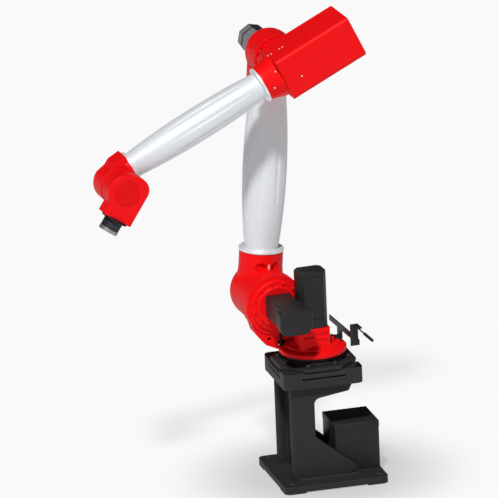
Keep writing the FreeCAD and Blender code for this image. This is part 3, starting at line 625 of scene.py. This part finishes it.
def fillet_strip(bm, start, end, out, rise):
    """Hollow fillet from start to end; out and rise point away from the corner."""
    arc = [math.pi / 2 * n / FILLET_STEPS for n in range(FILLET_STEPS + 1)]
    hollow = [out * (1 - math.sin(a)) + rise * (1 - math.cos(a)) for a in arc]
    ring = [bm.verts.new(start + point * FILLET) for point in [Vector((0, 0, 0))] + hollow]
    extrude(bm, ring, end - start)


cheek_low, cheek_high = extent("column_cheek_left", ROOM)
other_low, other_high = extent("column_cheek_right", ROOM)
foot_top = extent("foot_plate", ROOM)[1].z
head_bottom = extent("pedestal_head", ROOM)[0].z
CHEEK_ROUND, GUSSET_BACK, TOE_INSET, TOE_RISE = 0.024, -0.085, 0.030, 0.030
rounded_front = cheek_high.x - CHEEK_ROUND


def cast_fillets():
    bm = bmesh.new()
    for y, out in ((cheek_high.y, 1), (other_low.y, -1)):
        way = Vector((0, out, 0))
        fillet_strip(bm, Vector((cheek_low.x + 0.004, y, foot_top)),
                     Vector((rounded_front, y, foot_top)), way, Vector((0, 0, 1)))
        fillet_strip(bm, Vector((GUSSET_BACK, y, head_bottom)),
                     Vector((rounded_front, y, head_bottom)), way, Vector((0, 0, -1)))
    for y, out in ((cheek_low.y, -1), (other_high.y, 1)):
        channel = extent("column_core", ROOM)[1].x
        fillet_strip(bm, Vector((channel, y, foot_top)), Vector((channel, y, head_bottom)),
                     Vector((1, 0, 0)), Vector((0, out, 0)))
    piece("column_fillets", bm, ROOM, "pedestal", "black_castings")


cast_fillets()

# %% Screws of the pedestal
BASE_RING_R = 0.165
base_top = extent("robot_base_plate", ROOM)[1].z
base_centre = (swing_point.x, swing_point.y, base_top)
screw_row("base_plate_screws", ring_of(ROOM, base_centre, (0, 0, 1), BASE_RING_R, 8, math.pi / 8),
          BASE_SCREW, "pedestal", "black_flange")
toe_z = foot_top + TOE_RISE
screw_row("toe_screws", [spot(ROOM, (cheek_low.x + TOE_INSET, y, toe_z), (0, way, 0))
                         for y, way in ((cheek_high.y, 1), (other_low.y, -1))],
          TOE_SCREW, "pedestal", "black_castings")

# %% [markdown]
# ## Turret details
# The turret turns on a stepped red disc that is screwed down on its ledge. Two ribs stiffen the pad
# of the upright motor, and the gear cover of the shoulder carries its own ring of screws.

# %% Disc and shoulder screws
disc_low, disc_high = extent("turret_disc", TURRET)
LEDGE_RISE, LEDGE_R = 0.0396, 0.117
GEAR_RING_R, GEAR_RING_SINK = 0.108, 0.018
ledge_z = disc_low.z + LEDGE_RISE
free_arc = [math.radians(a) for a in (38, 58, 78, 98, 118, 138, 158, 200)]
screw_row("disc_screws", [spot(TURRET, (LEDGE_R * math.cos(a), LEDGE_R * math.sin(a), ledge_z))
                          for a in free_arc], DISC_SCREW, "turret", "red_paint")
shoulder_in_turret = TURRET.inverted() @ shoulder
cover_face = extent("shoulder_cover", TURRET)[1].y
ring_centre = (shoulder_in_turret.x, cover_face - GEAR_RING_SINK, shoulder_in_turret.z)
screw_row("gear_cover_screws", ring_of(TURRET, ring_centre, (0, 1, 0), GEAR_RING_R, 12, 0.2),
          GEAR_SCREW, "turret", "red_paint")


# %% Ribs on the motor pad, and a black plug as painted shade in the web's hole
RIB_DROPS, RIB_INSET, RIB_HALF, RIB_RISE = (0.018, 0.046), 0.014, 0.007, 0.0045


def pad_ribs():
    low, high = extent("swing_motor_pad", TURRET)
    bm = bmesh.new()
    for drop in RIB_DROPS:
        z = high.z - drop
        rib = bmesh.new()
        slab(rib, Vector((low.x + RIB_INSET, high.y - 0.001, z - RIB_HALF)),
             Vector((high.x - RIB_INSET, high.y + RIB_RISE, z + RIB_HALF)))
        soften(rib, [e for e in rib.edges if lies_along(e, 1)], 0.0065, 4)
        soften(rib, [e for e in rib.edges if middle(e).y > high.y + 0.004], 0.0018, 2)
        add_shape(bm, rib)
    piece("motor_pad_ribs", bm, TURRET, "turret", "red_paint")


pad_ribs()
web_far = extent("shoulder_web", TURRET)[0].y
hole_x, hole_z = shoulder_in_turret.x + 0.034, disc_high.z + 0.014


# The black plug inside the hole is painted shade: it keeps the hole dark.
def hole_shade_plug():
    bm = bmesh.new()
    turned(bm, spot(ROOM, (hole_x, web_far + 0.012, hole_z), (0, 1, 0)),
           [(0, 0), (0.0089, 0), (0.0089, 0.02), (0.0070, 0.022), (0, 0.018)], 32)
    piece("web_hole_shade_plug", bm, TURRET, "turret", "black_seal")


hole_shade_plug()

# %% Relief slot of the web, filled with black blocks as painted shade
# These black blocks are painted shade: the slot looks dark only because it lies in shade.
SLOT_SHADE_BLOCKS = (((0.131, -0.060, 0.640), (0.145, -0.0386, 0.716)),
               ((0.108, -0.100, 0.640), (0.168, -0.062, 0.704)))


def web_slot_shade():
    """Black blocks that paint the shade in the upright slot where the web's foot stops short of the turret's disc.
    """
    bm = bmesh.new()
    for low, high in SLOT_SHADE_BLOCKS:
        block = bmesh.new()
        slab(block, Vector(low), Vector(high))
        soften(block, block.edges[:], 0.0012, 2)
        add_shape(bm, block)
    piece("web_slot_shade", bm, TURRET, "turret", "black_seal")


web_slot_shade()

# %% [markdown]
# ## Tube collars
# The fluted tubes are pressed into pale rings. At each joint a thin bead of sealant closes the
# gap, and it catches the light as a fine line. It is a rounded bead, spun round the tube. The
# upper ring of the lower arm is covered by a red skirt of the elbow casting.

# %% Beads round the tubes
BEAD_FLATNESS, BEAD_WIDTH = 0.8, 0.006
FOOT_R, LOWER_RING_R, HEAD_R = 0.0800, 0.1032, 0.0846      # lower arm
REAR_R, FRONT_R = 0.0652, 0.0606                           # forearm


def bead(name, place, centre, way, radius, width, body, finish):
    """Rounded bead about a way through a centre."""
    bm = bmesh.new()
    half = width / 2
    outline = [(radius + half * math.cos(a) * BEAD_FLATNESS, half * math.sin(a))
               for a in (math.radians(d) for d in range(0, 360, 30))]
    turned(bm, spot(ROOM, centre, way), outline)
    piece(name, bm, place, body, finish)


def ring_size(node, place, axis):
    """Radius and both ends of a ring along its own axis, and its centre across."""
    low, high = extent(node, place)
    other = (axis + 1) % 3
    return (high[other] - low[other]) / 2, low[axis], high[axis], (low + high) / 2


_, z0, z1, mid = ring_size("lower_ring", LOWER_ARM, 2)
bead("lower_tube_bead", LOWER_ARM, (mid.x, mid.y, z1), (0, 0, 1), FOOT_R, BEAD_WIDTH,
     "lower_arm", "pale_ring")
bead("lower_ring_bead", LOWER_ARM, (mid.x, mid.y, z0), (0, 0, 1), LOWER_RING_R, 0.004,
     "lower_arm", "black_seal")
r, z0, _, mid = ring_size("upper_ring", LOWER_ARM, 2)
bead("upper_tube_bead", LOWER_ARM, (mid.x, mid.y, z0), (0, 0, 1), HEAD_R, BEAD_WIDTH,
     "lower_arm", "pale_ring")

# %% Skirt of the elbow casting
SLEEVE_OUT, SLEEVE_END, SLEEVE_INSIDE = 0.007, 0.045, 0.004


def elbow_sleeve(ring_radius, bottom, centre):
    """Red skirt of the elbow casting, which runs down over the upper ring."""
    reach = ring_radius + SLEEVE_OUT
    end, inside = arm_length - SLEEVE_END, ring_radius - SLEEVE_INSIDE
    bm = bmesh.new()
    turned(bm, Matrix.Translation((centre.x, centre.y, 0)),
           [(inside, bottom), (reach - 0.005, bottom), (reach - 0.0015, bottom + 0.0015),
            (reach, bottom + 0.005), (reach, end), (inside, end)])
    piece("elbow_sleeve", bm, LOWER_ARM, "lower_arm", "red_paint")


elbow_sleeve(r, z0 - 0.002, mid)

# %% Beads of the forearm
rear_end = ring_size("forearm_rear_ring", ELBOW, 0)[2]
front_start = ring_size("forearm_front_ring", ELBOW, 0)[1]
bead("forearm_rear_bead", ELBOW, (rear_end, 0, 0), (1, 0, 0), REAR_R, BEAD_WIDTH,
     "forearm", "pale_ring")
bead("forearm_front_bead", ELBOW, (front_start, 0, 0), (1, 0, 0), FRONT_R, BEAD_WIDTH,
     "forearm", "pale_ring")

# %% Painted highlight on the rib of the neck
HIGHLIGHT_HALF, HIGHLIGHT_TALL, HIGHLIGHT_DEEP, HIGHLIGHT_AT = 0.0055, 0.018, 0.006, (-0.006, -0.176, 0.142)


def neck_highlight():
    """Small pale lozenge on the rib between the two cast pockets: a painted highlight."""
    bm = bmesh.new()
    ring = [bm.verts.new(point) for point in ((-HIGHLIGHT_HALF, 0, 0), (0, 0, -HIGHLIGHT_TALL),
                                              (HIGHLIGHT_HALF, 0, 0), (0, 0, HIGHLIGHT_TALL))]
    extrude(bm, ring, Vector((0, HIGHLIGHT_DEEP, 0)))
    soften(bm, bm.edges[:], 0.0012, 2)
    piece("neck_highlight", bm, LOWER_ARM @ Matrix.Translation(HIGHLIGHT_AT), "lower_arm", "pale_ring")


neck_highlight()

# %% [markdown]
# ## Elbow and rear cover
# The rear cover hides the wrist motors. It is one deep-drawn red shell, held by pairs of screws on
# top and one on each side, with a rolled lip along its two lower edges. In the recess between the
# two elbow castings sits the ring of screws that holds the gear to the lower arm.

# %% Screws of the elbow
shell_low, shell_high = extent("rear_cover", ELBOW)
RECESS_RING_R, PAIR_GAP = 0.1045, 0.016
hub_face = extent("elbow_casting", LOWER_ARM)[1].y
screw_row("elbow_gear_screws",
          ring_of(LOWER_ARM, (0, hub_face, arm_length), (0, 1, 0), RECESS_RING_R, 20),
          RECESS_SCREW, "lower_arm", "red_paint")
# These screws are real; their pale finish paints the small highlights on their heads.
top_pairs = [(x + side * PAIR_GAP / 2, 0.010, shell_high.z)
             for x in (0.054, -0.008) for side in (-1, 1)]
screw_row("cover_top_screws", [spot(ELBOW, point) for point in top_pairs], TOP_SCREW,
          "elbow", "pale_ring")
screw_row("cover_side_screws", [spot(ELBOW, (-0.014, y, -0.021), (0, way, 0))
                                for y, way in ((shell_high.y, 1), (shell_low.y, -1))],
          SIDE_SCREW, "elbow", "pale_ring")


def on_skin(node, place, x, z, way):
    """Place on a node's outer skin, where a line across the link at x and z meets it."""
    mesh = frame["nodes"][node].data
    skin = BVHTree.FromPolygons([v.co for v in mesh.vertices],
                                [list(p.vertices) for p in mesh.polygons])
    hit, normal, _, _ = skin.ray_cast(place @ Vector((x, way, z)),
                                      place.to_3x3() @ Vector((0, -way, 0)))
    return spot(ROOM, hit, normal)


# The nose and hub screws are real too; their pale finish paints their highlights.
nose_spots = [on_skin("elbow_housing", ELBOW, x, z, way)
              for x, z in ((0.118, -0.012), (0.079, 0.052)) for way in (1, -1)]
screw_row("nose_screws", nose_spots, HOUSING_SCREW, "elbow", "pale_ring")
screw_row("hub_screw", [on_skin("elbow_casting", LOWER_ARM, 0.069, arm_length + 0.048, 1)],
          HOUSING_SCREW, "lower_arm", "pale_ring")


# %% Rolled lip of the rear cover
LIP_R, LIP_SINK, LIP_RISE, LIP_SHORT = 0.0024, 0.0006, 0.026, 0.016


def cover_lip():
    """Bead that runs along the cover's two lower edges, just above the corner radius."""
    bm = bmesh.new()
    for y, way in ((shell_high.y, 1), (shell_low.y, -1)):
        rod = spot(ROOM, ((shell_high.x + shell_low.x) / 2, y - way * LIP_SINK,
                          shell_low.z + LIP_RISE), (1, 0, 0))
        bmesh.ops.create_cone(bm, cap_ends=True, segments=16, radius1=LIP_R, radius2=LIP_R,
                              depth=shell_high.x - shell_low.x - LIP_SHORT, matrix=rod)
    piece("cover_lip", bm, ELBOW, "elbow", "red_paint")


cover_lip()

# %% [markdown]
# ## Wrist
# The wrist body turns on a boss of the wrist housing. A thin dark seal closes that joint, four
# small screws sit on the body's front face, and the tool flange has a seal ring and a bright rim.

# %% Seals and screws of the wrist
body_low, body_high = extent("wrist_body", WRIST)
flange_low, flange_far = extent("tool_flange", WRIST)
face_start = extent("tool_face", WRIST)[0].x
CAP_SEAL_R, BOSS_SEAL_R, GROOVE_R, RIM_R = 0.0588, 0.0848, 0.0452, 0.0448
WRIST_SPOTS = ((0.112, 0.028), (0.112, -0.078), (-0.060, -0.052), (-0.062, 0.030))
flange_mid = (flange_low + flange_far) / 2
screw_row("wrist_screws", [spot(WRIST, (x, body_high.y, z), (0, 1, 0))
                           for x, z in WRIST_SPOTS],
          WRIST_SCREW, "wrist", "red_paint")
bead("cap_seal", WRIST, (0, body_high.y, 0), (0, 1, 0), CAP_SEAL_R, 0.0022,
     "wrist", "dark_red_cap")
bead("boss_seal", WRIST, (0, body_low.y - 0.0012, 0), (0, 1, 0), BOSS_SEAL_R, 0.002,
     "wrist", "black_seal")
bead("flange_groove_ring", WRIST, (flange_low.x + 0.012, flange_mid.y, flange_mid.z), (1, 0, 0),
     GROOVE_R, 0.003, "tool", "black_seal")
bead("flange_rim", WRIST, (face_start, flange_mid.y, flange_mid.z), (1, 0, 0), RIM_R, 0.0026,
     "tool", "bright_steel")

# %% [markdown]
# ## Floor, light and camera
# The studio is plain: a pale floor that runs on far behind the arm, a faint sky, a sun-like key
# lamp and a weak fill. The floor is lit from within, like a white light table, so that shadows
# stay faint on it, and that light is dimmed round the pedestal to paint a soft contact shadow
# there. The key lamp shines from high in front, so the forearm throws its shadow on the lower
# arm. The camera is far away with a long lens, which keeps parallel edges nearly parallel.

# %% Floor
# The floor's light is dimmed round the pedestal as a painted contact shadow; its level and its reach are set here.
FLOOR_HALF, GLOW, PAINTED_SHADOW_LEVEL = 40.0, 0.79, 0.58
PAINTED_SHADOW_START, PAINTED_SHADOW_END = 0.22, 0.80      # metres from the room's origin


def floor_finish():
    f = Finish("studio_floor")
    tone = f.mix(f.noise(0.8, 3), rgb(0.175, 0.175, 0.175), rgb(0.185, 0.185, 0.185))
    normal = f.make("NewGeometry", output="Normal")
    reach = f.make("VectorMath", {"operation": "LENGTH"}, {0: f.place}, 1)
    # Painted contact shadow: the floor's light is dimmed near the pedestal.
    glow_with_painted_shadow = f.mix(f.mask(reach, PAINTED_SHADOW_START, PAINTED_SHADOW_END), rgb(PAINTED_SHADOW_LEVEL, PAINTED_SHADOW_LEVEL, PAINTED_SHADOW_LEVEL), rgb(1, 1, 1))
    return f.close(tone, 0.75 + f.noise(30, 2) * 0.05, f.noise(200, 1), 0.00005, normal,
                   Specular_IOR_Level=0.0, Emission_Color=glow_with_painted_shadow, Emission_Strength=GLOW)


bm = bmesh.new()
bmesh.ops.create_grid(bm, x_segments=2, y_segments=2, size=FLOOR_HALF)
floor_mesh = bpy.data.meshes.new("studio_floor")
bm.to_mesh(floor_mesh)
bm.free()
floor_mesh.materials.append(floor_finish())
floor = bpy.data.objects.new("studio_floor", floor_mesh)
bpy.context.scene.collection.objects.link(floor)

# %% Lamps and sky
FOCUS, LAMP_AWAY = Vector((0.3133, 0, 1.1362)), 7


def lamp(name, kind, way, strength, **settings):
    """Lamp that shines on the arm from a way."""
    light = bpy.data.lights.new(name, kind)
    light.energy = strength
    for key, value in settings.items():
        setattr(light, key, value)
    holder = bpy.data.objects.new(name, light)
    way = Vector(way).normalized()
    turn = way.to_track_quat("Z", "Y").to_matrix().to_4x4()
    holder.matrix_world = Matrix.Translation(FOCUS + way * LAMP_AWAY) @ turn
    bpy.context.scene.collection.objects.link(holder)


lamp("key_lamp", "SUN", (0.26, 0.56, 0.84), 3.15, angle=math.radians(6))
lamp("front_fill", "AREA", (0.7, 1.6, 0.35), 18, size=4.0)
sky = bpy.data.worlds.new("sky")
sky.use_nodes = True
sky.node_tree.nodes["Background"].inputs["Color"].default_value = rgb(0.97, 0.98, 1.0)
sky.node_tree.nodes["Background"].inputs["Strength"].default_value = 0.05
bpy.context.scene.world = sky

# %% Camera
AZIMUTH, ELEVATION, ROLL = (math.radians(a) for a in (165.6, 17.5, -2.4))
STAND_OFF, SENSOR = 40.0, 36.0
VIEW_WIDTH = 2.30289          # metres that the camera sees across, at the arm
LENS = SENSOR * STAND_OFF / VIEW_WIDTH
back = Vector((math.sin(AZIMUTH) * math.cos(ELEVATION), -math.cos(AZIMUTH) * math.cos(ELEVATION),
               math.sin(ELEVATION)))
right = (-back).cross(Vector((0, 0, 1))).normalized()
level = right.cross(-back)
side = right * math.cos(ROLL) + level * math.sin(ROLL)
top = level * math.cos(ROLL) - right * math.sin(ROLL)
camera = bpy.data.objects.new("camera", bpy.data.cameras.new("camera"))
camera.data.sensor_width, camera.data.lens, camera.data.clip_end = SENSOR, LENS, 200
camera.matrix_world = (Matrix.Translation(FOCUS + back * STAND_OFF)
                       @ Matrix((side, top, back)).transposed().to_4x4())
bpy.context.scene.collection.objects.link(camera)
bpy.context.scene.camera = camera
bpy.context.scene.view_settings.view_transform = "Standard"
print("camera", STAND_OFF, "m away, lens", round(LENS), "mm")
